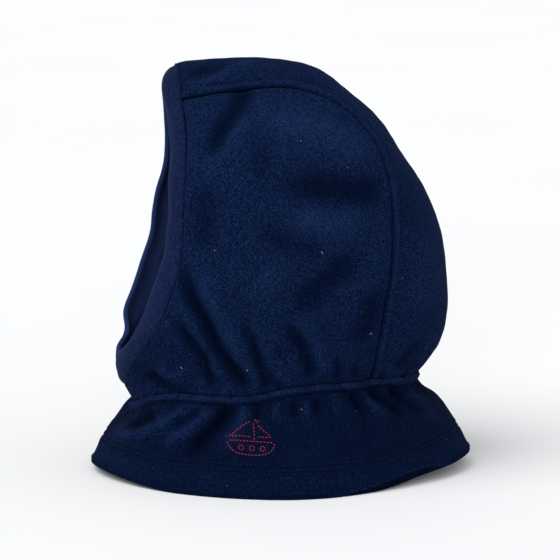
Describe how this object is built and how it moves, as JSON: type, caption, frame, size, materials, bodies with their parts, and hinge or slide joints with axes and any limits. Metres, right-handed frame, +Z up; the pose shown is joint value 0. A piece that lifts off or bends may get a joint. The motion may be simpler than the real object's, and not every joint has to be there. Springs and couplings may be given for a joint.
{
  "type": "balaclava",
  "caption": "Child's fleece balaclava: hood of two side panels and a crown strip, jersey-bound face opening, elasticated neck and flared collar with an embroidered boat.",
  "frame": {"origin": "middle of the collar hem, on the ground that the hem stands on", "axes": "+Z up, the wearer looks along -Y, the wearer's left side is +X"},
  "size_m": [0.186, 0.246, 0.2645],
  "materials": {
    "fleece": "navy polyester fleece, short brushed pile",
    "jersey": "navy cotton jersey, fine knit, folded double",
    "elastic": "woven elastic tape, off-white",
    "thread": "navy polyester sewing thread",
    "embroidery": "dull red embroidery thread"
  },
  "bodies": {
    "root": {"side_panel_left": "fleece", "side_panel_right": "fleece", "crown_band": "fleece", "face_band": "jersey", "collar_left": "fleece", "collar_right": "fleece", "neck_overlock": "thread", "neck_elastic": "elastic", "face_overlock": "thread", "crown_overlock_left": "thread", "crown_overlock_right": "thread", "throat_overlock": "thread", "nape_overlock": "thread", "crown_topstitch_left": "thread", "crown_topstitch_right": "thread", "neck_topstitch": "thread", "hem_topstitch_1": "thread", "hem_topstitch_2": "thread", "boat_embroidery": "embroidery"}
  },
  "joints": []
}
